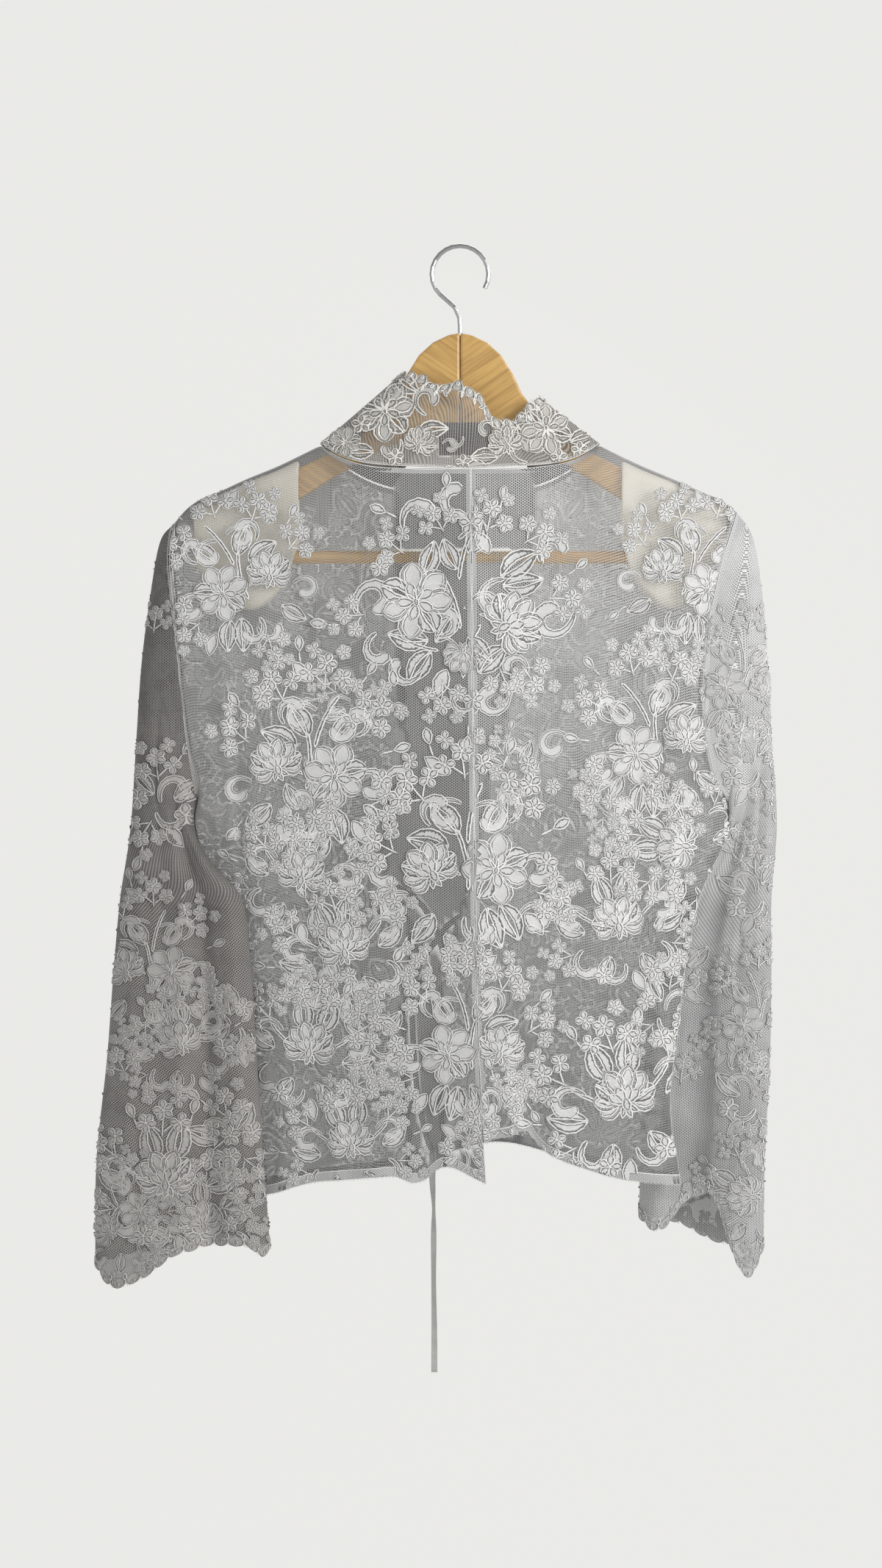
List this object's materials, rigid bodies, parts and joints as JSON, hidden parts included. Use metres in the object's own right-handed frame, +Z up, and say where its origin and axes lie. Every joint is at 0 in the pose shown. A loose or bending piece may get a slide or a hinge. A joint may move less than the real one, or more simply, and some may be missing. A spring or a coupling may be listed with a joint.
{
  "type": "lace shirt on a wooden hanger",
  "caption": "Sheer corded-lace jacket shirt with stand collar, long flared sleeves, shoulder pads and a ribbon tie at the open front, hanging on a wooden hanger",
  "frame": {"origin": "inner bearing point of the hanger's hook, where a rail carries it", "axes": "+Z up, +Y towards the front of the garment, +X to the right as seen from behind the garment"},
  "size_m": [0.5294, 0.0803, 0.8796],
  "materials": {
    "lace": "white corded lace on a fine tulle net, matt",
    "padding": "cream felted padding, matt",
    "label": "dark woven tape, blank",
    "ribbon": "pale satin ribbon",
    "oak": "light oak, clear satin lacquer",
    "steel": "bright plated wire"
  },
  "bodies": {
    "root": {"back_left": "lace", "back_right": "lace", "front_left": "lace", "front_right": "lace", "sleeve_left": "lace", "sleeve_right": "lace", "collar": "lace", "shoulder_pad_left": "padding", "shoulder_pad_right": "padding", "neck_label": "label", "ribbon_long": "ribbon", "ribbon_short": "ribbon", "ribbon_tab": "ribbon", "ribbon_loop": "ribbon", "hanger_left": "oak", "hanger_right": "oak", "hanger_bar": "oak", "hanger_hook": "steel"}
  },
  "joints": []
}
